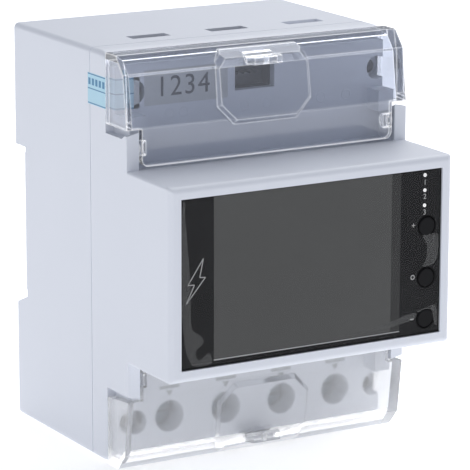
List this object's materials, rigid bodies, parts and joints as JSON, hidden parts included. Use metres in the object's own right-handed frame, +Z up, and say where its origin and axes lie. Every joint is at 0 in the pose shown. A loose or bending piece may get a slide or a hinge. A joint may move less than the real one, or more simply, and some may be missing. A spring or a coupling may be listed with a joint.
{
  "type": "rail mounted energy meter",
  "caption": "Modular energy meter for a 35 mm mounting rail, with a display window, push buttons, clear hinged terminal covers and screw terminals.",
  "frame": {"origin": "middle of the bottom of the meter's bounding box", "axes": "+Z up, +Y towards the rail at the back, the display faces -Y, +X to the right seen from the front"},
  "size_m": [0.072, 0.074, 0.0936],
  "materials": {
    "case_plastic": "fine matt moulded plastic",
    "clear_plastic": "clear moulded polycarbonate",
    "window_plastic": "smoked acrylic with a printed black border",
    "film": "thin clear film",
    "button_plastic": "moulded",
    "light_pipe_plastic": "clear moulded plastic",
    "lamp_resin": "moulded",
    "display_glass": "liquid crystal glass",
    "frame_plastic": "moulded",
    "elastomer": "striped silicone",
    "board_laminate": "solder mask",
    "switch_plastic": "moulded",
    "transformer_plastic": "taped winding on a ferrite core",
    "capacitor_sleeve": "shrunk sleeve",
    "film_capacitor_case": "moulded",
    "chip_resin": "moulded",
    "socket_plastic": "moulded",
    "shield_steel": "tinned",
    "block_plastic": "moulded",
    "bar_metal": "tinned",
    "cage_steel": "zinc plated",
    "screw_steel": "zinc plated"
  },
  "bodies": {
    "case": {"board_link": "socket_plastic", "board_screws": "screw_steel", "case_screws": "screw_steel", "comms_board": "board_laminate", "contact_bars": "bar_metal", "contact_strip": "elastomer", "current_sockets": "socket_plastic", "display_board": "board_laminate", "display_frame": "frame_plastic", "display_glass": "display_glass", "display_window": "window_plastic", "film_capacitor": "film_capacitor_case", "filter_capacitors": "capacitor_sleeve", "front_housing": "case_plastic", "indicator_lamps": "lamp_resin", "light_guide": "light_pipe_plastic", "light_pipes": "light_pipe_plastic", "main_board": "board_laminate", "metering_chip": "chip_resin", "port_socket": "socket_plastic", "power_transformer": "transformer_plastic", "processor_chip": "chip_resin", "radio_module": "shield_steel", "rear_housing": "case_plastic", "riser_board": "board_laminate", "screen_film": "film", "supply_chip": "chip_resin", "tact_switches": "switch_plastic", "terminal_block": "block_plastic"},
    "top_cover": {"top_terminal_cover": "clear_plastic"},
    "bottom_cover": {"bottom_terminal_cover": "clear_plastic"},
    "plus_button": {"button_plus": "button_plastic"},
    "select_button": {"button_select": "button_plastic"},
    "minus_button": {"button_minus": "button_plastic"},
    "clip": {"rail_clip": "case_plastic"},
    "screw_1": {"terminal_screw_1": "screw_steel"},
    "cage_1": {"terminal_cage_1": "cage_steel"},
    "screw_2": {"terminal_screw_2": "screw_steel"},
    "cage_2": {"terminal_cage_2": "cage_steel"},
    "screw_3": {"terminal_screw_3": "screw_steel"},
    "cage_3": {"terminal_cage_3": "cage_steel"},
    "screw_4": {"terminal_screw_4": "screw_steel"},
    "cage_4": {"terminal_cage_4": "cage_steel"}
  },
  "joints": [
    {"name": "top_cover_hinge", "type": "hinge", "parent": "case", "child": "top_cover", "pos_m": [0, -0.0158, 0.0734], "axis": [1, 0, 0], "range_deg": [0, 90]},
    {"name": "bottom_cover_hinge", "type": "hinge", "parent": "case", "child": "bottom_cover", "pos_m": [0, -0.0158, 0.0209], "axis": [-1, 0, 0], "range_deg": [0, 90]},
    {"name": "plus_press", "type": "slide", "parent": "case", "child": "plus_button", "axis": [0, 1, 0], "range_m": [0, 0.0005], "stiffness_N_per_m": 2000, "springref_m": -0.0001},
    {"name": "select_press", "type": "slide", "parent": "case", "child": "select_button", "axis": [0, 1, 0], "range_m": [0, 0.0005], "stiffness_N_per_m": 2000, "springref_m": -0.0001},
    {"name": "minus_press", "type": "slide", "parent": "case", "child": "minus_button", "axis": [0, 1, 0], "range_m": [0, 0.0005], "stiffness_N_per_m": 2000, "springref_m": -0.0001},
    {"name": "clip_slide", "type": "slide", "parent": "case", "child": "clip", "axis": [0, 0, -1], "range_m": [0, 0.004], "stiffness_N_per_m": 1500, "springref_m": -0.002},
    {"name": "screw_1_turn", "type": "hinge", "parent": "case", "child": "screw_1", "pos_m": [-0.0219, -0.0053, 0.0099], "axis": [0, 1, 0], "range_deg": [0, 1980]},
    {"name": "cage_1_lift", "type": "slide", "parent": "case", "child": "cage_1", "axis": [0, -1, 0], "range_m": [0, 0.0044]},
    {"name": "screw_2_turn", "type": "hinge", "parent": "case", "child": "screw_2", "pos_m": [-0.0073, -0.0053, 0.0099], "axis": [0, 1, 0], "range_deg": [0, 1980]},
    {"name": "cage_2_lift", "type": "slide", "parent": "case", "child": "cage_2", "axis": [0, -1, 0], "range_m": [0, 0.0044]},
    {"name": "screw_3_turn", "type": "hinge", "parent": "case", "child": "screw_3", "pos_m": [0.0073, -0.0053, 0.0099], "axis": [0, 1, 0], "range_deg": [0, 1980]},
    {"name": "cage_3_lift", "type": "slide", "parent": "case", "child": "cage_3", "axis": [0, -1, 0], "range_m": [0, 0.0044]},
    {"name": "screw_4_turn", "type": "hinge", "parent": "case", "child": "screw_4", "pos_m": [0.0219, -0.0053, 0.0099], "axis": [0, 1, 0], "range_deg": [0, 1980]},
    {"name": "cage_4_lift", "type": "slide", "parent": "case", "child": "cage_4", "axis": [0, -1, 0], "range_m": [0, 0.0044]}
  ],
  "couplings": [
    {"joint": "screw_1_turn", "follows": "cage_1_lift", "rad_per_m": 7853.9},
    {"joint": "screw_2_turn", "follows": "cage_2_lift", "rad_per_m": 7853.9},
    {"joint": "screw_3_turn", "follows": "cage_3_lift", "rad_per_m": 7853.9},
    {"joint": "screw_4_turn", "follows": "cage_4_lift", "rad_per_m": 7853.9}
  ]
}
